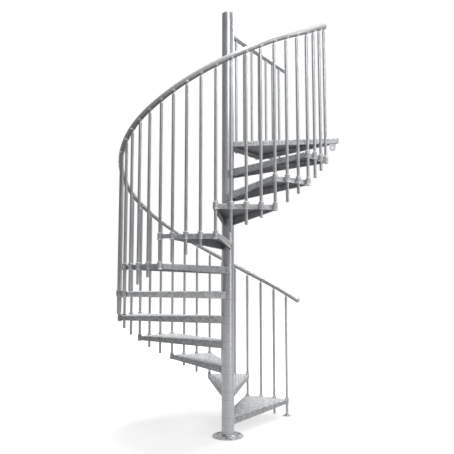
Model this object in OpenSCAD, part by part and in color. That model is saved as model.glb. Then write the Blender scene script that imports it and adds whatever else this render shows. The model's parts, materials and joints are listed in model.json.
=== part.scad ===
// Galvanised spiral staircase: a centre column, eleven wedge treads, a landing, balusters and a helical handrail.
// It climbs anticlockwise. The origin is on the floor, on the column's axis, and +X is the direction of azimuth 0.

/* [Stair] */
// Radius of the circle on which the balusters stand
stair_r = 880; // [700:5:1100]
// Height from one tread to the next
riser = 200; // [180:1:225]
// Height from the floor to the first tread
first_rise = 150; // [120:1:225]
// Azimuth of the first baluster
start_turn = 51.6; // [0:0.1:90]

/* [Column] */
// Outer diameter of the column's spacer tubes
column_od = 101.6; // [88.9:0.1:127]
// Wall of the spacer tubes
column_wall = 4; // [3:0.5:6]
// Height of the column's open top over the landing
column_over_landing = 1130; // [1000:5:1300]
// Thickness of the plate that closes the column's top
cap_t = 4; // [2:0.5:8]
// Play between the centre pole and what slides over it
pole_play = 0.3; // [0.2:0.1:1]
// Wall of the centre pole inside the spacer tubes
pole_wall = 4; // [3:0.5:8]

/* [Base flange] */
// Diameter of the floor plate
base_d = 240; // [180:1:320]
// Thickness of the floor plate
base_t = 10; // [6:1:16]
// Diameter of the circle of its bolt holes
base_pcd = 200; // [150:1:280]
// Diameter of each bolt hole
base_hole_d = 14; // [10:0.5:18]
// Number of bolt holes
base_holes = 3; // [3:1:6]
// Azimuth of the first bolt hole
base_hole_turn = 22; // [0:1:119]

/* [Treads] */
// Thickness of the tread sheet
sheet_t = 3; // [2:0.5:5]
// Half the tread's width where it meets the column
hub_side = 36; // [15:1:42]
// Depth of the side flanges at the column
flange_deep = 61; // [40:1:80]
// Depth of the side flanges at the outer end
flange_shallow = 34; // [20:1:45]
// Width of the lip folded inwards under each side flange
lip_w = 18; // [8:1:26]
// Depth of the flange across the outer end
end_deep = 36; // [25:1:60]
// How far the tread's corners reach past its first and last baluster
corner_past = 22; // [18:1:40]
// How far the weld draws each collar into the tread's edge
weld = 2; // [1.75:0.25:2.5]

/* [Link bar] */
// Thickness of the bar from tread 8 to the collar before it
link_t = 8; // [5:1:12]
// Height of that bar
link_h = 30; // [20:1:40]

/* [Balusters] */
// Diameter of a baluster
baluster_d = 22; // [12:0.5:25]
// Outer diameter of the collars on the treads
collar_od = 34; // [28:0.5:42]
// Height of the collars
collar_h = 50; // [30:1:70]
// How far the collars stand up over the tread
collar_up = 12; // [0:1:25]
// Play between a baluster and its collar
collar_play = 0.3; // [0.2:0.1:0.5]
// Diameter of the floor flange under the first baluster
foot_d = 80; // [60:1:90]
// Thickness of that floor flange
foot_t = 5; // [3:0.5:10]
// Diameter of its conical boss where it meets the flange
boss_d = 50; // [40:1:56]
// Height of that boss
boss_h = 14; // [8:1:25]
// Outer diameter of the leg from that flange to the first tread
leg_d = 27; // [26:0.5:34]

/* [Handrail] */
// Outer diameter of the handrail
rail_d = 42.4; // [32:0.1:50]
// Height of the handrail's axis over the first tread, at the first baluster
rail_rise = 975; // [850:5:1150]
// How much less the handrail climbs than the stair does, over the last treads
rail_settle = 140; // [0:5:160]
// How far the handrail runs on before the first baluster, in degrees
rail_before = 9; // [2:0.5:10]
// How far it runs on past the last baluster, in degrees
rail_after = 1.5; // [0:0.5:5]
// Height of the saddle between a baluster and the handrail
saddle_h = 14; // [8:1:25]
// Diameter of that saddle's neck
saddle_d = 14; // [8:0.5:18]

/* [Landing] */
// Height from the last tread to the landing
landing_rise = 240; // [180:1:260]
// Reach of the landing from the axis
landing_r = 915; // [800:5:1300]
// Azimuth of the landing's near corner
landing_turn = -9.6; // [-12:0.1:10]
// Reach of its far corner from the axis
landing_far_r = 560; // [400:5:1300]
// Angle between the landing's near and far corners
landing_span = 67; // [40:1:90]
// Half the landing's width where it meets the column
landing_side = 44; // [30:1:47]
// Depth of the landing's folded rim
landing_rim = 42; // [30:1:60]
// Number of balusters under the landing's own rail
landing_balusters_n = 7; // [4:1:12]
// Distance from the axis to the first of them
landing_first = 132; // [90:1:250]
// Distance from the last of them to the end of their rail
landing_end = 130; // [60:1:250]
// Height of the landing rail's axis over the landing
landing_rail_rise = 960; // [850:5:1150]
// How far the landing rail reaches from the axis
landing_rail_reach = 1030; // [950:5:1200]
// Angle from the landing's far corner back to its rail
landing_rail_back = 1.5; // [1:0.5:5]
// Width of the flat bar under its balusters
landing_bar_w = 30; // [20:1:60]
// Thickness of that bar
landing_bar_t = 8; // [5:1:12]
// Distance from the axis to the bar's near end
landing_bar_start = 90; // [70:5:200]
// Width of the lug that hangs under the landing's near corner
lug_w = 50; // [30:1:80]
// Its height
lug_h = 58; // [40:1:90]
// Its thickness
lug_t = 8; // [5:1:12]
// Diameter of the hole in it
lug_hole_d = 20; // [10:1:24]
// Distance from the near corner to the middle of the lug
lug_back = 50; // [40:1:120]

/* [Hidden] */

steps = 11;
// Turn of each tread round the column, as the stair was set up, and the spaces between its balusters
tread_turn = [26, 24, 25, 26, 28, 28, 29, 27, 27, 19, 16];
bays = [3, 3, 3, 3, 3, 3, 4, 4, 4, 3, 3];
// The tread whose first collar stands off it on a link bar, and the tread after which the handrail climbs less
link_tread = 8;
settle_from = 9;

function sum(list, last) = last < 0 ? 0 : list[last] + sum(list, last - 1);
function tread_start(n) = start_turn + sum(tread_turn, n - 2);
function tread_end(n) = start_turn + sum(tread_turn, n - 1);
function tread_top(n) = first_rise + (n - 1) * riser;
function collar_base(n) = tread_top(n) + collar_up - collar_h;

landing_top = tread_top(steps) + landing_rise;
column_r = column_od / 2;
pole_r = column_r - column_wall - pole_play;
bore_r = column_r - column_wall;
column_top = landing_top + column_over_landing;
collar_bore_d = baluster_d + 2 * collar_play;
// The sheet's outer edge, which the collars are welded to
edge_r = stair_r - collar_od / 2 + weld;
corner_turn = corner_past / stair_r * 180 / PI;
hub_h = flange_deep;
function level(n) = n > steps ? landing_top : tread_top(n);
// Gap between pieces that seat on each other
seat_gap = 0.3;
round_fn = 64;
tube_fn = 32;

// Azimuth of baluster k of tread n, counted from the tread's first
function baluster_turn(n, k) = tread_start(n) + tread_turn[n - 1] * k / bays[n - 1];
// Height of the rail's axis at s, which counts treads: one riser a tread, and less over the last ones
function climb_at(s) = first_rise + rail_rise + riser * s - rail_settle * max(0, s - settle_from) / (steps - settle_from);
function rail_z(n, k) = climb_at(n - 1 + k / bays[n - 1]);
// Slope of the rail over tread n
function rail_slope(n) = atan((climb_at(n) - climb_at(n - 1)) * 180 / PI / (tread_turn[n - 1] * stair_r));
// The steeper of the slopes at baluster k of tread n, which the tread's last shares with the next tread
function slope_at(n, k) = k < bays[n - 1] ? rail_slope(n) : max(rail_slope(n), rail_slope(min(n + 1, steps)));
// Height of the rail's axis over the top of the saddle under it, which just clears the rail
function saddle_drop(slope) = rail_d / 2 / cos(slope) + saddle_d / 2 * tan(slope) + seat_gap;
function baluster_top(n, k) = rail_z(n, k) - saddle_drop(slope_at(n, k)) - saddle_h;

// Steel colours
zinc = [0.72, 0.74, 0.76];
zinc_dark = [0.6, 0.62, 0.64];

function at(r, turn) = [r * cos(turn), r * sin(turn)];

module ring(outer_r, inner_r, h) {
    difference() {
        cylinder(h = h, r = outer_r, $fn = round_fn);
        translate([0, 0, -1]) cylinder(h = h + 2, r = inner_r, $fn = round_fn);
    }
}

module base_flange() {
    color(zinc) difference() {
        cylinder(h = base_t, d = base_d, $fn = round_fn);
        for (i = [0 : base_holes - 1])
            translate(concat(at(base_pcd / 2, base_hole_turn + i * 360 / base_holes), -1))
                cylinder(h = base_t + 2, d = base_hole_d, $fn = tube_fn);
    }
}

module centre_pole() {
    color(zinc_dark) translate([0, 0, base_t]) ring(pole_r, pole_r - pole_wall, column_top - base_t);
}

module column_spacers() {
    color(zinc) for (n = [0 : steps]) {
        low = n == 0 ? base_t : level(n);
        translate([0, 0, low]) ring(column_r, bore_r, level(n + 1) - hub_h - low);
    }
    color(zinc) translate([0, 0, landing_top]) ring(column_r, bore_r, column_top - landing_top);
}

module column_cap() {
    color(zinc) translate([0, 0, column_top]) cylinder(h = cap_t, r = column_r, $fn = round_fn);
}

// Prism of 2D children standing on edge: the outline's y becomes the height, and it is h thick
module on_edge(h) {
    translate([0, h, 0]) rotate([90, 0, 0]) linear_extrude(height = h) children();
}

// Outline of a wedge about the X axis whose sides pass the origin at the distance side, skewed from that axis
function wedge(side, skew, over) = let (foot = at(side, -90 - skew), far = foot + at(over, -skew))
    [foot, far, [far.x, -far.y], [foot.x, -foot.y]];

// The wedge's side below the X axis: a flange that tapers outwards from deep to shallow, with a lip folded in under it
module wedge_side(skew) {
    run = sqrt(edge_r * edge_r - hub_side * hub_side) - sheet_t / 4;
    taper = (flange_deep - flange_shallow) / run;
    rotate([0, 0, -skew]) translate([0, -hub_side, 0]) difference() {
        on_edge(lip_w) polygon([[0, 0], [run, 0], [run, -flange_shallow], [0, -flange_deep]]);
        translate([0, sheet_t, sheet_t]) on_edge(lip_w)
            polygon([[-1, 1], [run + 1, 1], [run + 1, taper - flange_shallow], [-1, -flange_deep - taper]]);
    }
}

// A folded tread with its top at z = 0, half degrees to each side of the X axis, without its collars and bores
module folded_wedge(half) {
    skew = half - asin(hub_side / edge_r);
    end_half = skew + asin((hub_side - sheet_t / 2) / edge_r);
    intersection() {
        translate([0, 0, -sheet_t]) linear_extrude(height = sheet_t)
            polygon(wedge(hub_side - sheet_t / 2, skew, edge_r * 1.1));
        rotate([0, 0, 180]) translate([0, 0, -end_deep]) cylinder(h = 2 * end_deep, r = edge_r - sheet_t / 2, $fn = round_fn);
    }
    wedge_side(skew);
    mirror([0, 1, 0]) wedge_side(skew);
    rotate([0, 0, -end_half]) rotate_extrude(angle = 2 * end_half, $fn = round_fn)
        translate([edge_r - sheet_t, -end_deep]) square([sheet_t, end_deep]);
}

module hub_bore() {
    translate([0, 0, -hub_h - 1]) cylinder(h = hub_h + 2, r = bore_r, $fn = round_fn);
}

module hub() {
    translate([0, 0, -hub_h]) cylinder(h = hub_h, r = column_r, $fn = round_fn);
}

// Collar of tread n from which its sheet starts
function sheet_first(n) = n == link_tread ? 1 : 0;

module tread(n) {
    first = sheet_first(n);
    middle = (baluster_turn(n, first) + tread_end(n)) / 2;
    color(zinc) translate([0, 0, tread_top(n)]) rotate([0, 0, middle]) difference() {
        union() {
            folded_wedge(tread_end(n) - middle + corner_turn);
            hub();
            for (k = [first : bays[n - 1]])
                translate(concat(at(stair_r, baluster_turn(n, k) - middle), collar_up - collar_h))
                    cylinder(h = collar_h, d = collar_od, $fn = tube_fn);
        }
        hub_bore();
        for (k = [first : bays[n - 1]])
            translate(concat(at(stair_r, baluster_turn(n, k) - middle), collar_up - collar_h - 1))
                cylinder(h = collar_h + 2, d = collar_bore_d, $fn = tube_fn);
    }
}

// Outline moved inwards by d, for an anticlockwise outline
function inward(a, b) = let (run = b - a) [-run.y, run.x] / norm(run);
function inset(points, d) = let (last = len(points) - 1) [for (i = [0 : last])
    let (before = inward(points[i == 0 ? last : i - 1], points[i]), after = inward(points[i], points[i == last ? 0 : i + 1]))
        points[i] + d * (before + after) / (1 + before * after)];

landing_outline = [at(landing_side, landing_turn - 90), at(landing_r, landing_turn),
    at(landing_far_r, landing_turn + landing_span), at(landing_side, landing_turn + landing_span + 90)];
module landing() {
    color(zinc) translate([0, 0, landing_top]) difference() {
        union() {
            translate([0, 0, -landing_rim]) linear_extrude(height = landing_rim) polygon(landing_outline);
            hub();
        }
        difference() {
            union() {
                translate([0, 0, sheet_t - landing_rim]) linear_extrude(height = landing_rim - 2 * sheet_t)
                    polygon(inset(landing_outline, sheet_t));
                translate([0, 0, -landing_rim - 1]) linear_extrude(height = sheet_t + 2)
                    polygon(inset(landing_outline, lip_w));
            }
            hub();
        }
        hub_bore();
    }
}

// Flat bar on edge that carries the landing's balusters past its far corner
module landing_bar() {
    color(zinc) translate([0, 0, landing_top + seat_gap]) rotate([0, 0, landing_rail_turn])
        translate([landing_bar_start, -landing_bar_w / 2, 0])
            cube([landing_rail_reach - landing_bar_start, landing_bar_w, landing_bar_t]);
}

// The collar that stands off its tread, with the bar that runs from it to the tread's first collar
module link_bar() {
    step = tread_turn[link_tread - 1] / bays[link_tread - 1];
    run = 2 * stair_r * sin(step / 2) - collar_od / 2 - seat_gap;
    color(zinc) translate(concat(at(stair_r, tread_start(link_tread)), collar_base(link_tread)))
        rotate([0, 0, tread_start(link_tread) + step / 2 + 90]) difference() {
            union() {
                cylinder(h = collar_h, d = collar_od, $fn = tube_fn);
                translate([0, -link_t / 2, (collar_h - link_h) / 2]) cube([run, link_t, link_h]);
            }
            translate([0, 0, -1]) cylinder(h = collar_h + 2, d = collar_bore_d, $fn = tube_fn);
        }
}

// Lug with a hole, which hangs from the lip under the landing's near edge
module landing_lug() {
    foot = at(landing_side, landing_turn - 90);
    edge = at(landing_r, landing_turn) - foot;
    color(zinc) translate([foot.x, foot.y, landing_top - landing_rim - seat_gap]) rotate([0, 0, atan2(edge.y, edge.x)])
        translate([norm(edge) - lug_back, (lip_w - lug_t) / 2, 0]) difference() {
            on_edge(lug_t) polygon([[-lug_w / 2, 0], [-lug_w / 2, lug_w / 3 - lug_h], [-lug_w / 5, -lug_h],
                [lug_w / 5, -lug_h], [lug_w / 2, lug_w / 3 - lug_h], [lug_w / 2, 0]]);
            translate([0, -1, lug_w / 2 - lug_h]) rotate([-90, 0, 0]) cylinder(h = lug_t + 2, d = lug_hole_d, $fn = tube_fn);
        }
}

module first_baluster() {
    color(zinc) translate(at(stair_r, start_turn)) {
        cylinder(h = foot_t, d = foot_d, $fn = round_fn);
        translate([0, 0, foot_t / 2]) cylinder(h = boss_h, d1 = boss_d, d2 = leg_d + 2, $fn = tube_fn);
        cylinder(h = collar_base(1), d = leg_d, $fn = tube_fn);
        cylinder(h = baluster_top(1, 0), d = baluster_d, $fn = tube_fn);
    }
}

// Balusters that end on tread n: the ones between its corners, and its last, shared with the tread above
module balusters(n) {
    color(zinc) for (k = [1 : bays[n - 1]]) {
        low = collar_base(n) - riser * (bays[n - 1] - k) / bays[n - 1];
        translate(concat(at(stair_r, baluster_turn(n, k)), low))
            cylinder(h = baluster_top(n, k) - low, d = baluster_d, $fn = tube_fn);
    }
}

// Handrail: a round tube along the helix, from s = first to s = last, where s counts treads
function turn_at(s) = let (n = min(max(floor(s), 0), steps - 1)) tread_start(n + 1) + tread_turn[n] * (s - n);
rail_sides = 12;
module rail_section(first, last, rings) {
    points = [for (i = [0 : rings]) let (s = first + (last - first) * i / rings, turn = turn_at(s),
        slope = rail_slope(min(max(floor(s), 0), steps - 1) + 1))
        for (j = [0 : rail_sides - 1]) let (a = 360 * j / rail_sides, out = rail_d / 2 * cos(a), up = rail_d / 2 * sin(a))
            [(stair_r + out) * cos(turn) + up * sin(slope) * sin(turn),
             (stair_r + out) * sin(turn) - up * sin(slope) * cos(turn),
             climb_at(s) + up * cos(slope)]];
    sides = [for (i = [0 : rings - 1]) for (j = [0 : rail_sides - 1]) let (k = (j + 1) % rail_sides)
        [i * rail_sides + j, i * rail_sides + k, (i + 1) * rail_sides + k, (i + 1) * rail_sides + j]];
    start = [[for (j = [0 : rail_sides - 1]) rail_sides - 1 - j]];
    end = [[for (j = [0 : rail_sides - 1]) rings * rail_sides + j]];
    color(zinc) polyhedron(points = points, faces = concat(sides, start, end), convexity = 4);
}

rail_first = -rail_before / tread_turn[0];
rail_last = steps + rail_after / tread_turn[steps - 1];
module handrail_lower() { rail_section(rail_first, 3, 14); }
module handrail_middle() { rail_section(3, 6, 12); }
module handrail_upper() { rail_section(6, 9, 12); }
module handrail_top() { rail_section(9, rail_last, 9); }

module saddle(n, k) {
    translate(concat(at(stair_r, baluster_turn(n, k)), baluster_top(n, k)))
        cylinder(h = saddle_h, d = saddle_d, $fn = tube_fn);
}

module rail_saddles_lower() {
    color(zinc_dark) {
        saddle(1, 0);
        for (n = [1 : 6]) for (k = [1 : bays[n - 1]]) saddle(n, k);
    }
}

module rail_saddles_upper() {
    color(zinc_dark) for (n = [7 : steps]) for (k = [1 : bays[n - 1]]) saddle(n, k);
}

landing_rail_turn = landing_turn + landing_span - landing_rail_back;
landing_rail_z = landing_top + landing_rail_rise;
landing_pitch = (landing_rail_reach - landing_end - landing_first) / (landing_balusters_n - 1);
module landing_rail() {
    start = column_r + seat_gap + 2;
    color(zinc) rotate([0, 0, landing_rail_turn]) translate([start, 0, landing_rail_z])
        rotate([0, 90, 0]) cylinder(h = landing_rail_reach - start, d = rail_d, $fn = tube_fn);
}

module landing_balusters() {
    color(zinc) rotate([0, 0, landing_rail_turn]) for (i = [0 : landing_balusters_n - 1])
        translate([landing_first + i * landing_pitch, 0, landing_top + landing_bar_t + 2 * seat_gap])
            cylinder(h = landing_rail_rise - landing_bar_t - rail_d / 2 - 3 * seat_gap, d = baluster_d, $fn = tube_fn);
}

base_flange();
centre_pole();
column_spacers();
column_cap();
tread(1);  // tread_01
tread(2);  // tread_02
tread(3);  // tread_03
tread(4);  // tread_04
tread(5);  // tread_05
tread(6);  // tread_06
tread(7);  // tread_07
tread(8);  // tread_08
tread(9);  // tread_09
tread(10);  // tread_10
tread(11);  // tread_11
landing();
first_baluster();
balusters(1);  // balusters_01
balusters(2);  // balusters_02
balusters(3);  // balusters_03
balusters(4);  // balusters_04
balusters(5);  // balusters_05
balusters(6);  // balusters_06
balusters(7);  // balusters_07
balusters(8);  // balusters_08
balusters(9);  // balusters_09
balusters(10);  // balusters_10
balusters(11);  // balusters_11
handrail_lower();
handrail_middle();
handrail_upper();
handrail_top();
rail_saddles_lower();
rail_saddles_upper();
landing_rail();
landing_balusters();
landing_bar();
landing_lug();
link_bar();
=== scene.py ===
"""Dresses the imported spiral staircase: zinc finishes, anti-slip pattern, folds, bolts, welds and the stage.

Lengths are metres and azimuths are degrees, in the frame of the CAD model: the origin is on the floor on the
column's axis, +Z is up, and the stair climbs anticlockwise seen from above. Treads are counted from 0, and
steps is the climb from the first baluster, counted in treads.
"""

import json
import math

import bpy
import numpy as np
from bpy.props import FloatProperty, FloatVectorProperty, IntProperty, PointerProperty
from mathutils import Matrix, Vector


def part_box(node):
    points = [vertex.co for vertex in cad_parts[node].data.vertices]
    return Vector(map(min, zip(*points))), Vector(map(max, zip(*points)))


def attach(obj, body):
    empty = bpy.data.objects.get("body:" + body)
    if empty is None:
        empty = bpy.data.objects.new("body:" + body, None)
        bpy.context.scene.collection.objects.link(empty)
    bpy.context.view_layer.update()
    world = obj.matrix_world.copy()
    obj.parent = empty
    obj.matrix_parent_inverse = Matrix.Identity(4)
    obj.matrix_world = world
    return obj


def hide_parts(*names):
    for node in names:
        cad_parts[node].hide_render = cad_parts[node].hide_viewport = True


bl_info = {
    "name": "Spiral staircase looks",
    "version": (1, 0, 0),
    "blender": (4, 5, 0),
    "location": "3D View > Sidebar > Stair",
    "description": "Finishes and fine pieces for a galvanised spiral staircase",
    "category": "Object",
}

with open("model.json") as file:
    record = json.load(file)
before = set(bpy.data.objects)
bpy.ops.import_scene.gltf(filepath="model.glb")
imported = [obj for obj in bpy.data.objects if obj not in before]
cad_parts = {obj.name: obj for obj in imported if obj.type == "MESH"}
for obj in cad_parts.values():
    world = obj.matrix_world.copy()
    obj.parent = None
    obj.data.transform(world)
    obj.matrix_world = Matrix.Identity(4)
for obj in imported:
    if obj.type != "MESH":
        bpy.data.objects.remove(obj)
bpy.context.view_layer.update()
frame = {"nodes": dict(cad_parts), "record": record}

# The turn of each tread round the column and the spaces between its balusters, as in the CAD model
TREAD_TURN = (26, 24, 25, 26, 28, 28, 29, 27, 27, 19, 16)
BAYS = (3, 3, 3, 3, 3, 3, 4, 4, 4, 3, 3)
STEPS = len(TREAD_TURN)
# The tread whose first collar stands off its sheet on a bar
LINK_TREAD = 7

# The landing's height over the last tread, its near corner's azimuth and the angle to its far corner
LANDING_RISE, LANDING_TURN, LANDING_SPAN = 0.24, -9.6, 67.0
# Reach of those corners, half the landing's width at the column and the depth of its rim
LANDING_NEAR, LANDING_FAR, LANDING_SIDE, LANDING_RIM = 0.915, 0.56, 0.044, 0.042
# Angle from the far corner back to the flat bar on its sheet, and half the strip that this bar covers
BAR_BACK, BAR_STRIP = 1.5, 0.026

# The handrail climbs SETTLE less than the treads do, over those after SETTLE_FROM
SETTLE, SETTLE_FROM = 0.14, 9
# The base flange's bolt holes: radius of their circle, azimuth of the first and their number
BOLT_CIRCLE, BOLT_TURN, BOLTS = 0.1, 22.0, 3
# The least height of a baluster's lower end over the floor
FLOOR_CLEAR = 0.012

# Radius of the round on a folded edge, the distance of its axis from both faces, and its facets
FOLD_R, FOLD_INSET, FOLD_SIDES = 0.0026, 0.0021, 10
# Apothem of the hexagon bolts and nuts, and their height
HEX_ACROSS, HEX_HEIGHT = 0.0085, 0.0065
# Radius of the pin-prick that closes a surface of revolution on its axis
POLE = 0.0002
UP = (0.0, 0.0, 1.0)
DOWN = (0.0, 0.0, -1.0)
ACROSS = (1.0, 0.0, 0.0)

# The studio's soft light from low and high X, Y and Z, and what more of it shows in the metal
SOFT_BOXES = ((0.02, 0.06), (0.16, 1.2), (0.0, 0.06))
SHINE = 0.14
WHITE = (1.0, 1.0, 1.0, 1.0)

# Area lamps: place, power in watts, width and height; all of them aim at the stair's middle
LAMPS = {
    "key": ((1.1, -4.4, 5.0), 100.0, 1.6, 1.6),
    "top": ((0.8, -1.6, 16.0), 1600.0, 5.0, 5.0),
    "right": ((5.0, -1.5, 3.5), 45.0, 1.6, 1.6),
    "back": ((3.0, 3.5, 5.5), 130.0, 2.0, 2.0),
    "strip": ((3.2, -2.4, 1.4), 24.0, 0.5, 3.0),
}
LAMP_AIM = (0.0, 0.0, 1.7)
# Half the floor's width
FLOOR_HALF = 30.0

# The camera fitted to the photograph: distance, height, angles in degrees, focal length in frame widths
CAMERA = {
    "distance": 4.5428, "height": 1.2175, "focal": 550.47 / 454,
    "yaw": -0.093, "pitch": 5.803, "roll": 0.009,
}
SENSOR_WIDTH = 36.0

# Finishes: colour in StairLooks, size and contrast of the spangle, roughness, metallic, strength of the runs
# and of the relief, and how much painted shade darkens the faces that turn down
ZINCS = {
    "zinc_sheet": ("sheet", 0.018, 0.38, 0.5, 0.35, 0.08, 0.1, 0.8),
    "zinc_tube": ("tube", 0.009, 0.12, 0.35, 0.58, 0.1, 0.06, 0.55),
    "zinc_fittings": ("fitting", 0.006, 0.14, 0.4, 0.6, 0.05, 0.05, 0.5),
    # Brighter zinc: partly rubbed bright, partly a painted highlight on lugs, folds, rings, clamps and the
    # base flange
    "zinc_worn": ("worn", 0.018, 0.7, 0.45, 0.3, 0.04, 0.06, 0.4),
    # Handrail zinc: its light colour is partly the polish of hands, partly a painted sheen for the light it
    # reflects
    "zinc_rail": ("rail", 0.006, 0.1, 0.26, 0.15, 0.05, 0.04, 0.8),
    # Baluster zinc: a darker copy of the tube's, a painted shade for the thin balusters
    "zinc_bars": ("bars", 0.009, 0.12, 0.35, 0.6, 0.1, 0.04, 0.4),
    # Near-black zinc of the bolt holes' liners: a painted shadow
    "zinc_shade": ("shade", 0.004, 0.2, 0.6, 0.2, 0.04, 0.04, 0.0),
}
# Scales of the zinc's clouds, fine grain and runs along Z, in features per metre
CLOUD_SCALE, FINE_SCALE, RUN_SCALE = 9.0, 420.0, (60.0, 60.0, 2.5)
# How much the clouds and the fine grain change its tone, and the clouds its roughness
CLOUD_TONE, FINE_TONE, CLOUD_ROUGH = 0.22, 0.1, 0.14
# Share of the spangle, the grain and the clouds in its relief, and the relief's depth
CELL_LIFT, FINE_LIFT, CLOUD_LIFT, RELIEF_DEPTH = 0.06, 0.14, 0.8, 0.0005

SLOTS = {entry["node"]: entry["material_slot"] for entry in frame["record"]["subparts"]}
FINISHES = {
    "galvanised_sheet": "zinc_sheet",
    "galvanised_tube": "zinc_tube",
    "galvanised_fittings": "zinc_fittings",
}
# Finishes of single CAD nodes, by the start of their names, where they differ from their slot's
# The base flange takes the brighter zinc with its painted highlight, the balusters the darker zinc with its
# painted shade
OWN_FINISHES = {"base_flange": "zinc_worn", "balusters": "zinc_bars", "landing_balusters": "zinc_bars"}


class StairSizes(bpy.types.PropertyGroup):
    """Sizes that the fine pieces share with the CAD model"""

    stair_r: FloatProperty(
        name="Baluster circle", description="Radius of the balusters' circle", default=0.88, unit="LENGTH"
    )
    riser: FloatProperty(name="Riser", description="Height from tread to tread", default=0.2, unit="LENGTH")
    first_rise: FloatProperty(
        name="First rise", description="Height of the first tread", default=0.15, unit="LENGTH"
    )
    start_turn: FloatProperty(
        name="Start", description="Azimuth of the first baluster", default=math.radians(51.6),
        subtype="ANGLE", unit="ROTATION",
    )
    edge_r: FloatProperty(
        name="Tread edge", description="Radius of the treads' outer edge", default=0.865, unit="LENGTH"
    )
    hub_side: FloatProperty(
        name="Tread root", description="Half the tread's width at the column", default=0.036, unit="LENGTH"
    )
    corner_past: FloatProperty(
        name="Corner", description="Reach past the last baluster", default=0.022, unit="LENGTH"
    )
    flange_deep: FloatProperty(
        name="Flange, column", description="Depth of the flange there", default=0.061, unit="LENGTH"
    )
    flange_shallow: FloatProperty(
        name="Flange, edge", description="Depth of the flange there", default=0.034, unit="LENGTH"
    )
    column_r: FloatProperty(name="Column", description="Radius of the column", default=0.0508, unit="LENGTH")
    collar_r: FloatProperty(
        name="Collar", description="Outer radius of a collar", default=0.017, unit="LENGTH"
    )
    collar_up: FloatProperty(
        name="Collar rise", description="Its height over the tread", default=0.012, unit="LENGTH"
    )
    collar_h: FloatProperty(
        name="Collar height", description="Height of a collar", default=0.05, unit="LENGTH"
    )
    baluster_r: FloatProperty(
        name="Baluster", description="Radius of a baluster", default=0.011, unit="LENGTH"
    )
    rail_r: FloatProperty(
        name="Handrail", description="Radius of the handrail", default=0.0212, unit="LENGTH"
    )
    rail_rise: FloatProperty(
        name="Rail rise", description="Rail's axis over a tread", default=0.975, unit="LENGTH"
    )
    rail_before: FloatProperty(
        name="Rail before", description="Rail's reach before the first baluster", default=math.radians(9),
        subtype="ANGLE", unit="ROTATION",
    )
    rail_after: FloatProperty(
        name="Rail after", description="Rail's reach past the last baluster", default=math.radians(1.5),
        subtype="ANGLE", unit="ROTATION",
    )


class StairLooks(bpy.types.PropertyGroup):
    """Colours and the raised pattern"""

    sheet: FloatVectorProperty(
        name="Sheet", description="Galvanised sheet", default=(0.545, 0.558, 0.574), size=3, subtype="COLOR"
    )
    tube: FloatVectorProperty(
        name="Tube", description="Galvanised tube", default=(0.56, 0.575, 0.595), size=3, subtype="COLOR"
    )
    fitting: FloatVectorProperty(
        name="Fittings", description="Small fittings", default=(0.52, 0.53, 0.545), size=3, subtype="COLOR"
    )
    # Brighter zinc: partly rubbed bright, partly a painted highlight
    worn: FloatVectorProperty(
        name="Worn", description="Zinc rubbed bright", default=(0.84, 0.85, 0.86), size=3, subtype="COLOR"
    )
    # Handrail colour: partly the polish of hands, partly a painted sheen
    rail: FloatVectorProperty(
        name="Rail", description="Handled zinc", default=(0.8, 0.81, 0.82), size=3, subtype="COLOR"
    )
    # Balusters' colour: the tube's zinc made darker, a painted shade
    bars: FloatVectorProperty(
        name="Bars", description="Balusters", default=(0.46, 0.47, 0.485), size=3, subtype="COLOR"
    )
    # Colour of the liners in the base flange's bolt holes: a painted shadow
    shade: FloatVectorProperty(
        name="Shade", description="Hole rims", default=(0.07, 0.072, 0.075), size=3, subtype="COLOR"
    )
    lug_pitch: FloatProperty(
        name="Lug pitch", description="Distance between raised lugs", default=0.026, unit="LENGTH"
    )
    lug_length: FloatProperty(
        name="Lug length", description="Length of a raised lug", default=0.023, unit="LENGTH"
    )
    lug_height: FloatProperty(
        name="Lug height", description="Height of a raised lug", default=0.0018, unit="LENGTH"
    )
    rail_sides: IntProperty(name="Rail sides", description="Facets round the handrail", default=28)


def sizes():
    return bpy.context.scene.stair_sizes


def looks():
    return bpy.context.scene.stair_looks


def at(r, turn):
    """Point at a radius and an azimuth in degrees; both may be arrays."""
    a = np.radians(turn)
    return np.stack([r * np.cos(a), r * np.sin(a)], -1)


def unit(vectors):
    """Vectors scaled to the length 1."""
    return vectors / np.linalg.norm(vectors, axis=-1, keepdims=True)


def tread_start(n):
    """Azimuth of the tread's first baluster."""
    return math.degrees(sizes().start_turn) + sum(TREAD_TURN[:n])


def sheet_start(n):
    """Azimuth at which the tread's sheet begins: the link tread's first collar stands off it on a bar."""
    return tread_start(n) + (TREAD_TURN[n] / BAYS[n] if n == LINK_TREAD else 0.0)


def tread_top(n):
    return sizes().first_rise + n * sizes().riser


def landing_top():
    return tread_top(STEPS - 1) + LANDING_RISE


def tread_wedge(n):
    """A tread's middle azimuth, half the angle of its edge, and the angle from its middle to each side."""
    s = sizes()
    first, last = sheet_start(n), tread_start(n + 1)
    half = (last - first) / 2 + math.degrees(s.corner_past / s.stair_r)
    skew = half - math.degrees(math.asin(s.hub_side / s.edge_r))
    return (first + last) / 2, half, skew


def baluster_turns():
    """Azimuth of every baluster and the height, counted in treads, at which it stands."""
    turns, steps = [tread_start(0)], [0.0]
    for n in range(STEPS):
        for k in range(1, BAYS[n] + 1):
            turns.append(tread_start(n) + TREAD_TURN[n] * k / BAYS[n])
            steps.append(n + k / BAYS[n])
    return np.array(turns), np.array(steps)


def baluster_feet(steps):
    """Height of the lower ends of the balusters after the first: each stops short of the floor if it must."""
    s = sizes()
    rounding = 1e-6
    tread = np.ceil(steps - rounding)
    low = tread_top(0) + (tread - 1) * s.riser + s.collar_up - s.collar_h - s.riser * (tread - steps)
    return np.maximum(low, FLOOR_CLEAR)


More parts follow.
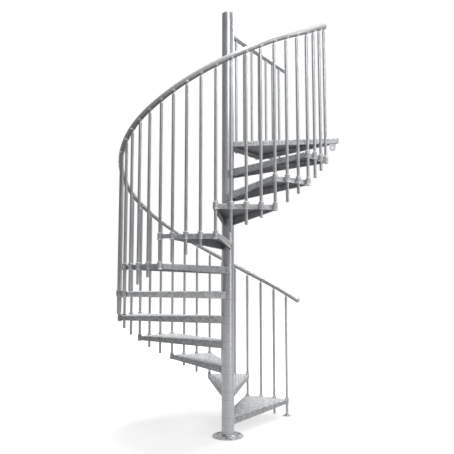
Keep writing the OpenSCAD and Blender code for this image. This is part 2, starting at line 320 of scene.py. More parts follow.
def rail_points(steps):
    """Points of the handrail's axis: it turns at the rate of the tread below, also past the end treads."""
    s = sizes()
    knots = np.concatenate([[0.0], np.cumsum(TREAD_TURN)]) + tread_start(0)
    turns = np.interp(steps, np.arange(STEPS + 1), knots)
    turns = np.where(steps < 0, knots[0] + steps * TREAD_TURN[0], turns)
    turns = np.where(steps > STEPS, knots[-1] + (steps - STEPS) * TREAD_TURN[-1], turns)
    late = np.maximum(0.0, steps - SETTLE_FROM) / (STEPS - SETTLE_FROM)
    heights = s.first_rise + s.rail_rise + s.riser * steps - SETTLE * late
    return np.column_stack([at(s.stair_r, turns), heights])


def rail_frames(steps):
    """The handrail's tangent, from points a hundredth of a tread to both sides, and the lift square to it."""
    near = 0.01
    tangent = unit(rail_points(steps + near) - rail_points(steps - near))
    side = unit(np.cross(tangent, UP))
    return tangent, np.cross(side, tangent)


def grid_faces(rows, columns, wrap=False):
    """Quads of a grid of rows by columns vertices, closed round the columns if wrap is true."""
    i, j = np.meshgrid(np.arange(rows - 1), np.arange(columns if wrap else columns - 1), indexing="ij")
    k = (j + 1) % columns
    corners = [i * columns + j, i * columns + k, (i + 1) * columns + k, (i + 1) * columns + j]
    return np.stack(corners, -1).reshape(-1, 4)


def revolved(profile, sides=24):
    """Surface of revolution of (radius, height) pairs about Z, as vertices and quads."""
    profile = np.array(profile, float)
    a = np.linspace(0, 2 * np.pi, sides, endpoint=False)
    ring = np.stack([np.cos(a), np.sin(a)], -1)
    xy = profile[:, None, :1] * ring[None]
    z = np.broadcast_to(profile[:, 1, None, None], (len(profile), sides, 1))
    return np.concatenate([xy, z], -1).reshape(-1, 3), grid_faces(len(profile), sides, True)


def wall(inner, outer, low, high, sides):
    """Upright tube with flat ends; a ring near each of them keeps the shading of the long wall straight."""
    near = 0.002
    profile = [
        (inner, low), (outer, low), (outer, low + near),
        (outer, high - near), (outer, high), (inner, high),
    ]
    return revolved(profile, sides)


def hexagon(across, height):
    """Six-sided nut or bolt head of the given apothem, chamfered and closed at the top, open at its foot."""
    r = across / math.cos(math.pi / 6)
    straight, top = 0.8, 0.86
    return revolved([(r, 0.0), (r, height * straight), (r * top, height), (POLE, height)], 6)


def swept(path, radius, sides):
    """Tube along a path: each ring is radius times (cos a side + sin a lift), both square to the path."""
    tangent = unit(np.gradient(path, axis=0))
    side = unit(np.cross(tangent, UP))
    lift = np.cross(side, tangent)
    a = np.linspace(0, 2 * np.pi, sides, endpoint=False)
    ring = np.cos(a)[None, :, None] * side[:, None] + np.sin(a)[None, :, None] * lift[:, None]
    return (path[:, None] + radius * ring).reshape(-1, 3), grid_faces(len(path), sides, True)[:, ::-1]


def fold(points, height):
    """Round on a folded edge through level points at the height of its axis."""
    return swept(np.column_stack([points, np.full(len(points), height)]), FOLD_R, FOLD_SIDES)


def copies(shape, origins, x_axes, z_axes):
    """The shape repeated at each origin, its X and Z turned to the axes, one for all or one for each."""
    verts, faces = shape
    origins = np.asarray(origins, float)
    x, z = (unit(np.broadcast_to(np.asarray(axes, float), origins.shape)) for axes in (x_axes, z_axes))
    turned = np.einsum("vk,nkc->nvc", verts, np.stack([x, np.cross(z, x), z], 1)) + origins[:, None]
    starts = np.arange(len(origins)) * len(verts)
    return turned.reshape(-1, 3), (faces[None] + starts[:, None, None]).reshape(-1, faces.shape[1])


def joined(parts):
    """Several (vertices, quads) as one."""
    offsets = np.cumsum([0] + [len(v) for v, _ in parts[:-1]])
    return np.concatenate([v for v, _ in parts]), np.concatenate([f + o for (_, f), o in zip(parts, offsets)])


def lens():
    """A raised lug, for u along it and v across it, both from -1 to 1.

    It is a leaf whose half-width goes with (1 - u^2) and whose height goes with (1 - v^2)(1 - u^2)^0.5.
    """
    look = looks()
    along, across, slimness = 7, 3, 0.19
    u, v = np.meshgrid(np.linspace(-1, 1, along), np.linspace(-1, 1, across), indexing="ij")
    swell = 1 - u**2
    x = u * look.lug_length / 2
    y = v * swell * look.lug_length * slimness
    z = (1 - v**2) * swell**0.5 * look.lug_height
    return np.stack([x, y, z], -1).reshape(-1, 3), grid_faces(along, across)[:, ::-1]


def level_lugs(lug, x, y, turned):
    """Lugs on a level face at the given places, each turned 45 degrees one way or the other."""
    level = np.zeros(len(x))
    axes = np.column_stack([at(1.0, 45 + 90 * turned), level])
    return copies(lug, np.column_stack([x, y, level]), axes, UP)


def flange_lugs(lug, foot, line, out, run, deep, shallow):
    """Lugs in a checker over an upright face: it starts at foot, runs along line, faces out and tapers."""
    pitch = looks().lug_pitch
    first_column, rows_most, row_share, top_margin, foot_margin = 3, 3, 0.72, 0.013, 0.009
    columns = np.arange(first_column, int(run / pitch))
    cols, rows = np.meshgrid(columns, np.arange(rows_most), indexing="ij")
    along, down = cols.ravel() * pitch, rows.ravel() * pitch * row_share + top_margin
    turned = (cols + rows).ravel() % 2
    keep = down < deep + (shallow - deep) * along / run - foot_margin
    along, down, turned = along[keep], down[keep], turned[keep]
    spots = np.column_stack([foot + along[:, None] * line, -down])
    a = np.radians(45 + 90 * turned)
    axes = np.cos(a)[:, None] * np.append(line, 0) + np.sin(a)[:, None] * np.array(UP)
    return copies(lug, spots, axes, np.append(out, 0))


def landing_outline():
    """Corners of the landing, anticlockwise from its near foot at the column."""
    far = LANDING_TURN + LANDING_SPAN
    return np.array([
        at(LANDING_SIDE, LANDING_TURN - 90), at(LANDING_NEAR, LANDING_TURN), at(LANDING_FAR, far),
        at(LANDING_SIDE, far + 90),
    ])


def piece(name, shape, slot, smooth=True, replaces=(), finish=None):
    """A new mesh piece that rides on the only body, in its slot's finish unless another is named."""
    verts, faces = shape
    mesh = bpy.data.meshes.new(name)
    mesh.vertices.add(len(verts))
    mesh.vertices.foreach_set("co", np.ascontiguousarray(verts, np.float32).ravel())
    mesh.loops.add(faces.size)
    mesh.loops.foreach_set("vertex_index", np.ascontiguousarray(faces, np.int32).ravel())
    mesh.polygons.add(len(faces))
    mesh.polygons.foreach_set("loop_start", np.arange(0, faces.size, faces.shape[1], dtype=np.int32))
    mesh.update(calc_edges=True)
    mesh.validate()
    mesh.polygons.foreach_set("use_smooth", np.full(len(mesh.polygons), smooth))
    mesh.materials.append(bpy.data.materials[finish or FINISHES[slot]])
    obj = bpy.data.objects.new(name, mesh)
    bpy.context.scene.collection.objects.link(obj)
    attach(obj, "root")
    if replaces:
        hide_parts(*replaces)
    return obj


def finish_of(name):
    """The finish of a CAD node."""
    own = [finish for start, finish in OWN_FINISHES.items() if name.startswith(start)]
    return own[0] if own else FINISHES[SLOTS[name]]


class Wire:
    """A shader socket that takes part in Python expressions; each operator adds a Math node."""

    def __init__(self, tree, socket):
        self.tree, self.socket = tree, socket

    def math(self, operation, *others):
        node = self.tree.nodes.new("ShaderNodeMath")
        node.operation = operation
        for slot, value in zip(node.inputs, (self, *others)):
            feed(self.tree, slot, value)
        return Wire(self.tree, node.outputs[0])

    def other(self, output):
        """Another output of the same node."""
        return Wire(self.tree, self.socket.node.outputs[output])

    def clamped(self):
        return self.math("MINIMUM", 1.0).math("MAXIMUM", 0.0)

    def __add__(self, other):
        return self.math("ADD", other)

    def __sub__(self, other):
        return self.math("SUBTRACT", other)

    def __mul__(self, other):
        return self.math("MULTIPLY", other)

    def __rsub__(self, other):
        return (self * -1.0) + other

    __radd__ = __add__
    __rmul__ = __mul__


def feed(tree, slot, value):
    """Link a wire to a node's input, or set the input to a plain value."""
    if isinstance(value, Wire):
        tree.links.new(value.socket, slot)
    else:
        slot.default_value = value


class Shader:
    """The node tree of a new material or world, with one method that adds any node."""

    def __init__(self, name, owners, output):
        self.owner = owners.new(name)
        self.owner.use_nodes = True
        self.tree = self.owner.node_tree
        self.tree.nodes.clear()
        self.output = self.tree.nodes.new("ShaderNode" + output)

    def node(self, kind, output=0, settings=(), *ordered, **inputs):
        node = self.tree.nodes.new("ShaderNode" + kind)
        for key, value in dict(settings).items():
            setattr(node, key, value)
        named = [(node.inputs[key.replace("_", " ")], value) for key, value in inputs.items()]
        for slot, value in list(zip(node.inputs, ordered)) + named:
            feed(self.tree, slot, value)
        return Wire(self.tree, node.outputs[output])

    def rays(self):
        """Whether a ray comes straight from the camera, and whether it is a reflection or passes through."""
        camera = self.node("LightPath", "Is Camera Ray")
        return camera, (camera.other("Is Glossy Ray") + camera.other("Is Transmission Ray")).clamped()

    def surface(self, wire):
        self.tree.links.new(wire.socket, self.output.inputs["Surface"])


def galvanised(name, colour, grain, contrast, rough, metal, streak, relief, painted_under_shade):
    """Zinc: spangle cells of the size grain, each its own grey, clouds, fine grain, runs along Z, and painted
    shade below.
    """
    shader = Shader(name, bpy.data.materials, "OutputMaterial")
    place = shader.node("TexCoord", "Object")
    cells = shader.node("TexVoronoi", "Color", Vector=place, Scale=1 / grain, Randomness=1.0)
    cell = shader.node("SeparateColor", 0, Color=cells)
    clouds = shader.node("TexNoise", 0, Vector=place, Scale=CLOUD_SCALE, Detail=4.0, Roughness=0.55)
    fine = shader.node("TexNoise", 0, Vector=place, Scale=FINE_SCALE, Detail=2.0, Roughness=0.6)
    squashed = shader.node("Mapping", Vector=place, Scale=RUN_SCALE)
    runs = shader.node("TexNoise", 0, Vector=squashed, Scale=1.0, Detail=3.0)
    tone = 1.0 + (cell - 0.5) * contrast + (clouds - 0.5) * CLOUD_TONE
    tone = tone + (fine - 0.5) * FINE_TONE + (runs - 0.5) * streak
    # Painted shade: the colour darkens on faces that turn down, by each finish's share, to stand in for their
    # shade
    facing = shader.node("SeparateXYZ", "Z", Vector=shader.node("TexCoord", "Normal"))
    tone = tone * (1.0 - (facing * -1.0).clamped() * painted_under_shade)
    base = shader.node("CombineColor", 0, Red=tone * colour[0], Green=tone * colour[1], Blue=tone * colour[2])
    height = cell * CELL_LIFT + fine * FINE_LIFT + clouds * CLOUD_LIFT
    normal = shader.node("Bump", 0, Strength=relief, Distance=RELIEF_DEPTH, Height=height)
    roughness = (rough + (clouds - 0.5) * CLOUD_ROUGH).clamped()
    coat = {"Base_Color": base, "Metallic": metal, "Roughness": roughness, "Normal": normal}
    shader.surface(shader.node("BsdfPrincipled", 0, **coat))


def backdrop(name):
    """White floor: it takes the shadow and glows to the camera and in reflections; ambient occlusion dims the
    glow under the object, a painted shade.
    """
    grey, grey_seen, painted_shade_reach = 0.06, 0.4, 0.02
    least_glow, rise_from, rise = 0.72, 1.4, 0.7
    shader = Shader(name, bpy.data.materials, "OutputMaterial")
    camera, shiny = shader.rays()
    # Painted shade: ambient occlusion dims the glow under the object and in its bolt holes
    open_sky = shader.node("AmbientOcclusion", "AO", settings={"samples": 8}, Distance=painted_shade_reach)
    shade = camera * grey_seen + grey
    colour = shader.node("CombineColor", 0, Red=shade, Green=shade, Blue=shade)
    paint = shader.node("BsdfDiffuse", 0, Color=colour)
    away = shader.node("VectorMath", "Value", {"operation": "LENGTH"}, shader.node("TexCoord", "Object"))
    far = ((away - rise_from) * rise).clamped()
    glow = camera * open_sky * open_sky * (least_glow + far * (1.0 - least_glow)) + shiny
    light = shader.node("Emission", 0, Color=WHITE, Strength=glow)
    shader.surface(shader.node("AddShader", 0, {}, paint, light))
    return shader.owner


def studio(name):
    """World: white to the camera; elsewhere the squared X, Y and Z of the ray, each times its soft light."""
    shader = Shader(name, bpy.data.worlds, "OutputWorld")
    camera, shiny = shader.rays()
    x = shader.node("SeparateXYZ", "X", Vector=shader.node("TexCoord", "Generated"))
    soft = 0.0
    for along, (low, high) in zip((x, x.other("Y"), x.other("Z")), SOFT_BOXES):
        ahead, behind = along.math("MAXIMUM", 0.0), (along * -1.0).math("MAXIMUM", 0.0)
        soft = soft + ahead * ahead * high + behind * behind * low
    strength = camera + (1.0 - camera) * soft + shiny * SHINE
    shader.surface(shader.node("Background", 0, Color=WHITE, Strength=strength))
    return shader.owner


class Step(bpy.types.Operator):
    """Base of the staircase's operators"""

    bl_options = {"REGISTER"}

    def execute(self, context):
        self.make(context)
        return {"FINISHED"}


class STAIR_OT_finishes(Step):
    """Make the zinc finishes and put them on the CAD nodes"""

    bl_idname = "stair.finishes"
    bl_label = "Finishes"

    def make(self, context):
        for name, (colour, *values) in ZINCS.items():
            galvanised(name, getattr(looks(), colour), *values)
        for name, node in frame["nodes"].items():
            node.data.materials.clear()
            node.data.materials.append(bpy.data.materials[finish_of(name)])


class STAIR_OT_handrail(Step):
    """Sweep the round handrail along the balusters' heads, with a domed cap at each end"""

    bl_idname = "stair.handrail"
    bl_label = "Handrail"

    def make(self, context):
        s, look = sizes(), looks()
        points, dome_share, dome_rings = 460, 0.35, 7
        first = -math.degrees(s.rail_before) / TREAD_TURN[0]
        last = STEPS + math.degrees(s.rail_after) / TREAD_TURN[-1]
        path = rail_points(np.linspace(first, last, points))
        # The handrail takes the light zinc, partly a painted sheen
        piece(
            "handrail_tube", swept(path, s.rail_r, look.rail_sides), "galvanised_tube", finish="zinc_rail",
            replaces=("handrail_lower", "handrail_middle", "handrail_upper", "handrail_top"),
        )
        a, r = np.linspace(0, math.pi / 2, dome_rings), s.rail_r
        dome = revolved(np.column_stack([r * np.cos(a), dome_share * r * np.sin(a)]), look.rail_sides)
        outward = np.array([path[0] - path[1], path[-1] - path[-2]])
        caps = copies(dome, path[[0, -1]], np.cross(outward, UP), outward)
        piece("handrail_caps", caps, "galvanised_fittings")


class STAIR_OT_rail_clamps(Step):
    """Strap the handrail to each baluster: a band round its lower half, a domed screw, nuts at the last two"""

    bl_idname = "stair.rail_clamps"
    bl_label = "Rail clamps"

    # The band's section, as (along the rail, out of it)
    SECTION = (
        (-0.011, -0.0004), (-0.011, 0.0012), (-0.0095, 0.0019),
        (0.0095, 0.0019), (0.011, 0.0012), (0.011, -0.0004),
    )
    # The arc that it is carried round: both ends, in degrees from the rail's inner side, and its points
    ARC = (206, 334, 13)
    # The screw's head, as (radius, height)
    HEAD = ((0.0068, 0.0), (0.0065, 0.0013), (0.0047, 0.0027), (0.002, 0.0034), (POLE, 0.0035))
    # The screw's angle below the level and its foot's distance from the rail's surface
    SCREW_TILT, SCREW_OUT = math.radians(46), 0.0016
    # The end nuts' apothem and height, and how far they stand below the rail and along it from the baluster
    NUT, NUT_DOWN, NUT_ALONG = (0.0075, 0.006), 0.0075, 0.011

    def make(self, context):
        s = sizes()
        steps = baluster_turns()[1]
        centres = rail_points(steps)
        tangent, lift = rail_frames(steps)
        section = np.array(self.SECTION)
        a = np.radians(np.linspace(*self.ARC))
        radius = s.rail_r + section[:, 1]
        along = np.broadcast_to(section[:, 0], (len(a), len(section)))
        band = np.stack([along, np.cos(a)[:, None] * radius, np.sin(a)[:, None] * radius], -1).reshape(-1, 3)
        bands = copies((band, grid_faces(len(a), len(section))[:, ::-1]), centres, tangent, lift)
        out = -np.cross(lift, tangent)
        tilt = out * math.cos(self.SCREW_TILT) - lift * math.sin(self.SCREW_TILT)
        heads = copies(revolved(self.HEAD, 12), centres + tilt * (s.rail_r + self.SCREW_OUT), tangent, tilt)
        # The bands and screws take the brighter zinc, partly a painted highlight
        piece("rail_clamps", joined([bands, heads]), "galvanised_fittings", finish="zinc_worn")
        spots = centres[-2:] - lift[-2:] * (s.rail_r + self.NUT_DOWN) + tangent[-2:] * self.NUT_ALONG
        nuts = copies(hexagon(*self.NUT), spots, tangent[-2:], lift[-2:])
        piece("rail_end_nuts", nuts, "galvanised_fittings", smooth=False)


class STAIR_OT_low_balusters(Step):
    """Stand the first tread's balusters clear of the floor: upright tubes up to the rail's saddles"""

    bl_idname = "stair.low_balusters"
    bl_label = "First tread's balusters"

    def make(self, context):
        s = sizes()
        turns, steps = (values[1:BAYS[0] + 1] for values in baluster_turns())
        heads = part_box("balusters_01")[1].z - s.riser * (steps[-1] - steps)
        tubes = []
        for turn, low, high in zip(turns, baluster_feet(steps), heads):
            verts, faces = wall(POLE, s.baluster_r, low, high, 32)
            tubes.append((verts + np.append(at(s.stair_r, turn), 0.0), faces))
        # The balusters take the darker zinc, a painted shade
        piece(
            "low_balusters", joined(tubes), "galvanised_tube", replaces=("balusters_01",),
            finish="zinc_bars",
        )


class STAIR_OT_collar_details(Step):
    """Give each collar a set screw and rolled rings at top and foot, and plug the balusters' lower ends"""

    bl_idname = "stair.collar_details"
    bl_label = "Collar details"

    # The screw's profile, as (radius, height)
    SCREW = (
        (0.0048, -0.001), (0.0048, 0.0018), (0.0042, 0.0024),
        (0.0024, 0.0024), (0.0022, 0.0008), (POLE, 0.0008),
    )
    # The ring's profile, as (radius over the collar's, height), and its end, as (over the baluster's, height)
    RING = ((-0.0003, -0.0055), (0.0016, -0.0048), (0.0024, -0.0025), (0.0016, 0.0), (-0.0006, 0.0011))
    RING_END = (0.0003, 0.0002)
    # The plug's foot, as (radius over the baluster's, height), its cone, as (share of that radius, height),
    # and the height of its tip
    PLUG_FOOT = ((0.0006, -0.003), (0.0009, 0.0))
    PLUG_CONE = ((0.9, 0.004), (0.5, 0.0062))
    PLUG_TIP = 0.0068

    def make(self, context):
        s = sizes()
        b, (end, height) = s.baluster_r, self.RING_END
        ring = [(s.collar_r + r, z) for r, z in self.RING] + [(b + end, height)]
        plug = [(b + r, z) for r, z in self.PLUG_FOOT] + [(b * share, z) for share, z in self.PLUG_CONE]
        plug.append((POLE, self.PLUG_TIP))
        origins, outs, tops = [], [], []
        for n in range(STEPS):
            turns = tread_start(n) + TREAD_TURN[n] * np.arange(BAYS[n] + 1) / BAYS[n]
            centre, level = at(s.stair_r, turns), np.zeros(len(turns))
            top = tread_top(n) + s.collar_up
            origins.append(np.column_stack([centre + at(s.collar_r, turns), level + (top - s.collar_h / 2)]))
            outs.append(np.column_stack([at(1.0, turns), level]))
            tops.append(np.column_stack([centre, level + top]))
        origins, outs, tops = map(np.concatenate, (origins, outs, tops))
        screws = copies(revolved(self.SCREW, 12), origins, np.cross(UP, outs), outs)
        piece("collar_screws", screws, "galvanised_fittings")
        ring = revolved(ring, 24)
        rings = [copies(ring, tops, outs, UP), copies(ring, tops - [0, 0, s.collar_h], outs, DOWN)]
        # The rings take the brighter zinc, partly a painted highlight
        piece("collar_rings", joined(rings), "galvanised_fittings", finish="zinc_worn")
        turns, steps = baluster_turns()
        feet = np.column_stack([at(s.stair_r, turns[1:]), baluster_feet(steps[1:])])
        piece("baluster_plugs", copies(revolved(plug, 20), feet, ACROSS, DOWN), "galvanised_fittings")


class STAIR_OT_column_details(Step):
    """Coat the treads' rings on the column with zinc, bead each of its joints, weld round its foot and line
    its bolt holes with painted shadow
    """

    bl_idname = "stair.column_details"
    bl_label = "Column details"

    # Profiles as (radius over the column's, height over the joint or, for the weld, over the flange)
    BEAD = ((-0.0002, -0.003), (0.0009, -0.0022), (0.0012, 0.0), (0.0009, 0.0022), (-0.0002, 0.003))
    WELD = ((0.013, -0.0003), (0.008, 0.0025), (0.003, 0.007), (-0.0003, 0.012))
    # Half the coat's thickness
    COAT = 0.0003
    # A dark liner in each bolt hole, a painted shadow, as (radius, height over the flange)
    LIP = (
        (0.0068, -0.008), (0.0075, -0.008), (0.0075, -0.0004), (0.01, -0.0004),
        (0.0095, 0.0005), (0.0078, 0.0005), (0.0068, -0.0004), (0.0068, -0.008),
    )

    def make(self, context):
        s = sizes()
        r = s.column_r
        tops = [tread_top(n) for n in range(STEPS)] + [landing_top()]
        heights = tops + [z - s.flange_deep for z in tops]
        bead = revolved([(r + out, z) for out, z in self.BEAD], 64)
        piece("column_joints", copies(bead, [[0, 0, z] for z in heights], ACROSS, UP), "galvanised_fittings")
        # Each coat lies just over its ring and ends under the beads
        coats = [wall(r - self.COAT, r + self.COAT, z - s.flange_deep, z, 64) for z in tops]
        piece("column_coats", joined(coats), "galvanised_tube")
        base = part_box("base_flange")[1].z
        weld = revolved([(r + out, base + z) for out, z in self.WELD], 96)
        piece("base_weld", weld, "galvanised_tube")
        turns = BOLT_TURN + np.arange(BOLTS) * 360 / BOLTS
        spots = np.column_stack([at(BOLT_CIRCLE, turns), np.full(BOLTS, base)])
        # The liners' near-black finish paints the shadow inside the holes
        hole_shadows = copies(revolved(self.LIP, 24), spots, ACROSS, UP)
        piece("base_hole_lips", hole_shadows, "galvanised_fittings", finish="zinc_shade")


class STAIR_OT_tread_folds(Step):
    """Round the fold along every tread's top edges, and bolt its side flanges to the hub"""

    bl_idname = "stair.tread_folds"
    bl_label = "Tread folds"

    # Where a side's fold starts, as a share of the column's radius, and the angle by which the edge's is short
    FOLD_FROM, EDGE_SHORT = 0.8, 0.1
    # The washer's profile, as (radius, height)
    WASHER = ((0.012, -0.0004), (0.012, 0.0016), (POLE, 0.0016))
    # Distance of the washer from the flange, of the head from the washer's foot and of the bolt from the
    # column, and how far down the flange the bolt is, as a share of its depth
    WASHER_OUT, HEAD_OUT, BOLT_PAST, BOLT_DOWN = 0.0003, 0.0014, 0.026, 0.52

    def make(self, context):
        s = sizes()
        folds, spots, faces_out = [], [], []
        run = math.sqrt(s.edge_r**2 - s.hub_side**2) - FOLD_INSET
        u = np.linspace(s.column_r * self.FOLD_FROM, run, 16)[:, None]
        for n in range(STEPS):
            middle, half, skew = tread_wedge(n)
            z = tread_top(n) - FOLD_INSET
            for way in (-1, 1):
                foot = at(s.hub_side - FOLD_INSET, middle + way * (90 + skew))
                line, out = at(1.0, middle + way * skew), at(1.0, middle + way * (90 + skew))
                folds.append(fold(foot + u * line, z))
                spot = foot + out * (FOLD_INSET + self.WASHER_OUT) + line * (s.column_r + self.BOLT_PAST)
                spots.append(np.append(spot, tread_top(n) - s.flange_deep * self.BOLT_DOWN))
                faces_out.append(np.append(out, 0.0))
            short = half - self.EDGE_SHORT
            turns = np.linspace(middle - short, middle + short, 24)
            folds.append(fold(at(s.edge_r - FOLD_INSET, turns), z))
        # The folds take the brighter zinc: partly wear, partly a painted highlight along the edges
        piece("tread_folds", joined(folds), "galvanised_sheet", finish="zinc_worn")
        spots, faces_out = np.array(spots), np.array(faces_out)
        washers = copies(revolved(self.WASHER, 18), spots, UP, faces_out)
        piece("flange_washers", washers, "galvanised_fittings", smooth=False)
        heads = copies(hexagon(HEX_ACROSS, HEX_HEIGHT), spots + faces_out * self.HEAD_OUT, UP, faces_out)
        piece("flange_bolts", heads, "galvanised_fittings", smooth=False)


class STAIR_OT_tread_pattern(Step):
    """Raise the anti-slip lugs on the top and the side flanges of every tread"""

    bl_idname = "stair.tread_pattern"
    bl_label = "Tread pattern"

    # Distance of the lugs' middles from the sides, the edge and the column
    SIDE_MARGIN, EDGE_MARGIN, COLUMN_MARGIN = 0.013, 0.014, 0.012
    FIRST_COLUMN, ROWS_EACH_SIDE = 2, 20

    def make(self, context):
        s, pitch, lug = sizes(), looks().lug_pitch, lens()
        cols = np.arange(self.FIRST_COLUMN, int(s.edge_r / pitch) + 1)
        rows = np.arange(-self.ROWS_EACH_SIDE, self.ROWS_EACH_SIDE + 1)
        cols, rows = (values.ravel() for values in np.meshgrid(cols, rows, indexing="ij"))
        run, depths = math.sqrt(s.edge_r**2 - s.hub_side**2), (s.flange_deep, s.flange_shallow)
        x, y = cols * pitch, rows * pitch
        for n in range(STEPS):
            middle, _, skew = tread_wedge(n)
            # Distance inside the nearer of the two skewed sides
            inside = s.hub_side + x * math.sin(math.radians(skew)) - np.abs(y) * math.cos(math.radians(skew))
            reach = np.hypot(x, y)
            keep = (inside > self.SIDE_MARGIN) & (reach < s.edge_r - self.EDGE_MARGIN)
            keep &= reach > s.column_r + self.COLUMN_MARGIN
            top = level_lugs(lug, x[keep], y[keep], (cols + rows)[keep] % 2)
            flanges = []
            for way in (-1, 1):
                line, out = at(1.0, way * skew), at(1.0, way * (90 + skew))
                flanges.append(flange_lugs(lug, s.hub_side * out, line, out, run, *depths))
            a = math.radians(middle)
            spin = np.array([[math.cos(a), math.sin(a), 0], [-math.sin(a), math.cos(a), 0], [0, 0, 1]])
            # The lugs on top take the brighter zinc: partly wear, partly a painted highlight
            kinds = (("tread", top, "zinc_worn"), ("flange", joined(flanges), "zinc_sheet"))
            for kind, (verts, faces), finish in kinds:
                shape = verts @ spin + [0, 0, tread_top(n)], faces
                piece(f"{kind}_pattern_{n + 1:02d}", shape, "galvanised_sheet", finish=finish)


class STAIR_OT_landing_details(Step):
    """Raise the landing's lugs on its top and rims, round its folds, and set its bolts and the nuts below"""

    bl_idname = "stair.landing_details"
    bl_label = "Landing details"

    # Distance of the lugs' middles from the rims and the column, and the lattice that they are taken from
    RIM_MARGIN, COLUMN_MARGIN, LATTICE = 0.014, 0.012, (-10, 40)
    # How far a fold ends before its corner
    FOLD_SHORT = 0.004
    # Bolts on the near edge and nuts under the far one: distance inside the edge, and places along it
    BOLT_IN, BOLT_AT = 0.02, (0.1, 0.75)
    NUT_IN, NUT_AT, NUT_HEIGHT = 0.009, (0.17, 0.48), 0.007
    # The bolt's end that shows past a nut
    STUB = ((0.005, 0.006), (0.005, 0.013), (0.004, 0.014), (POLE, 0.014))

    def make(self, context):
        top, corners = landing_top(), landing_outline()
        edges = np.roll(corners, -1, axis=0)[:3] - corners[:3]
        runs = np.linalg.norm(edges, axis=1)
        lines = edges / runs[:, None]
        outs = np.column_stack([lines[:, 1], -lines[:, 0]])
        self.pattern(top, corners, lines, outs, runs)
        folds = []
        for foot, line, out, run in zip(corners, lines, outs, runs):
            u = np.linspace(self.FOLD_SHORT, run - self.FOLD_SHORT, 24)[:, None]
            folds.append(fold(foot - out * FOLD_INSET + u * line, top - FOLD_INSET))
        # The folds take the brighter zinc: partly wear, partly a painted highlight along the edges
        piece("landing_folds", joined(folds), "galvanised_sheet", finish="zinc_worn")
        near, far = lines[0], -lines[2]
        heads = [np.append(corners[0] - outs[0] * self.BOLT_IN + near * r, top) for r in self.BOLT_AT]
        foot = corners[3] - outs[2] * self.NUT_IN
        nuts = [np.append(foot + far * r, top - LANDING_RIM) for r in self.NUT_AT]
        shapes = [
            copies(hexagon(HEX_ACROSS, HEX_HEIGHT), heads, ACROSS, UP),
            copies(hexagon(HEX_ACROSS, self.NUT_HEIGHT), nuts, ACROSS, DOWN),
            copies(revolved(self.STUB, 6), nuts, ACROSS, DOWN),
        ]
        piece("landing_bolts", joined(shapes), "galvanised_fittings", smooth=False)

    def pattern(self, top, corners, lines, outs, runs):
        """Lugs over the sheet but for its margins and the strip under the flat bar, and over the rims."""
        pitch, lug, lattice = looks().lug_pitch, lens(), np.arange(*self.LATTICE)
        cols, rows = (values.ravel() for values in np.meshgrid(lattice, lattice, indexing="ij"))
        x, y = cols * pitch, rows * pitch
        inside = ((corners[None, :3] - np.column_stack([x, y])[:, None]) * outs[None]).sum(2)
        bar = at(1.0, LANDING_TURN + LANDING_SPAN - BAR_BACK)
        keep = (inside.min(1) > self.RIM_MARGIN) & (np.hypot(x, y) > sizes().column_r + self.COLUMN_MARGIN)
        keep &= np.abs(x * bar[1] - y * bar[0]) >= BAR_STRIP
        shapes = [level_lugs(lug, x[keep], y[keep], (cols + rows)[keep] % 2)]
        for foot, line, out, run in zip(corners, lines, outs, runs):
            shapes.append(flange_lugs(lug, foot, line, out, run, LANDING_RIM, LANDING_RIM))
        verts, faces = joined(shapes)
        # The lugs take the brighter zinc: partly wear, partly a painted highlight
        piece("landing_pattern", (verts + [0, 0, top], faces), "galvanised_sheet", finish="zinc_worn")


class STAIR_OT_stage(Step):
    """Set up the white floor and backdrop, the soft lamps and the camera of the photograph"""

    bl_idname = "stair.stage"
    bl_label = "Stage"

    def make(self, context):
        scene = context.scene
        scene.view_settings.view_transform = "Standard"
        mesh = bpy.data.meshes.new("floor")
        h = FLOOR_HALF
        mesh.from_pydata([(-h, -h, 0), (h, -h, 0), (h, h, 0), (-h, h, 0)], [], [(0, 1, 2, 3)])
        mesh.materials.append(backdrop("backdrop_white"))
        floor = bpy.data.objects.new("floor", mesh)
        scene.collection.objects.link(floor)
        scene.world = studio("studio")
        for name, (spot, power, width, height) in LAMPS.items():
            lamp = bpy.data.lights.new(name, "AREA")
            lamp.energy, lamp.shape, lamp.size, lamp.size_y = power, "RECTANGLE", width, height
            obj = bpy.data.objects.new(name, lamp)
            obj.location = spot
            obj.rotation_euler = (Vector(LAMP_AIM) - Vector(spot)).to_track_quat("-Z", "Y").to_euler()
            scene.collection.objects.link(obj)
        photo_camera(scene)


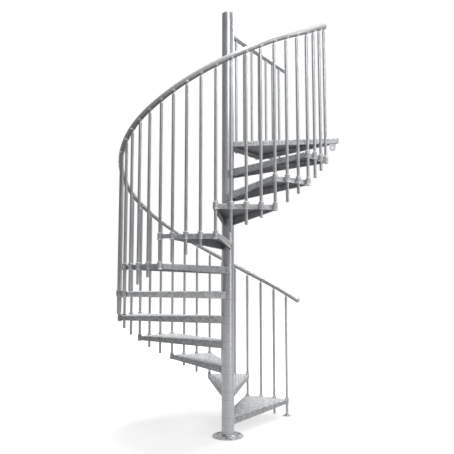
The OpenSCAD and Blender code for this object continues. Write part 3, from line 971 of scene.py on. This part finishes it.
def photo_camera(scene):
    """The photograph's camera: it stands on -Y, looks along +Y turned by yaw, tilted up by pitch."""
    yaw, pitch, roll = (math.radians(CAMERA[k]) for k in ("yaw", "pitch", "roll"))
    forward = np.array([math.sin(yaw) * math.cos(pitch), math.cos(yaw) * math.cos(pitch), math.sin(pitch)])
    right = np.array([math.cos(yaw), -math.sin(yaw), 0.0])
    up = np.cross(right, forward)
    camera = bpy.data.cameras.new("photo_camera")
    camera.sensor_width = SENSOR_WIDTH
    camera.lens = CAMERA["focal"] * SENSOR_WIDTH
    obj = bpy.data.objects.new("photo_camera", camera)
    rows = np.eye(4)
    rows[:3, 0] = math.cos(roll) * right + math.sin(roll) * up
    rows[:3, 1] = -math.sin(roll) * right + math.cos(roll) * up
    rows[:3, 2] = -forward
    rows[:3, 3] = (0.0, -CAMERA["distance"], CAMERA["height"])
    obj.matrix_world = Matrix(rows.tolist())
    scene.collection.objects.link(obj)
    scene.camera = obj


OPERATORS = (
    STAIR_OT_finishes,
    STAIR_OT_handrail,
    STAIR_OT_rail_clamps,
    STAIR_OT_low_balusters,
    STAIR_OT_collar_details,
    STAIR_OT_column_details,
    STAIR_OT_tread_folds,
    STAIR_OT_tread_pattern,
    STAIR_OT_landing_details,
    STAIR_OT_stage,
)


class STAIR_PT_panel(bpy.types.Panel):
    """Lists the staircase's steps in the 3D view's sidebar"""

    bl_idname = "STAIR_PT_panel"
    bl_label = "Spiral staircase"
    bl_space_type = "VIEW_3D"
    bl_region_type = "UI"
    bl_category = "Stair"

    def draw(self, context):
        for operator in OPERATORS:
            self.layout.operator(operator.bl_idname)


CLASSES = (StairSizes, StairLooks, *OPERATORS, STAIR_PT_panel)


def register():
    for cls in CLASSES:
        bpy.utils.register_class(cls)
    bpy.types.Scene.stair_sizes = PointerProperty(type=StairSizes)
    bpy.types.Scene.stair_looks = PointerProperty(type=StairLooks)


def unregister():
    del bpy.types.Scene.stair_looks
    del bpy.types.Scene.stair_sizes
    for cls in reversed(CLASSES):
        bpy.utils.unregister_class(cls)


def main():
    register()
    for operator in OPERATORS:
        group, name = operator.bl_idname.split(".")
        getattr(getattr(bpy.ops, group), name)()


if __name__ == "__main__":
    main()
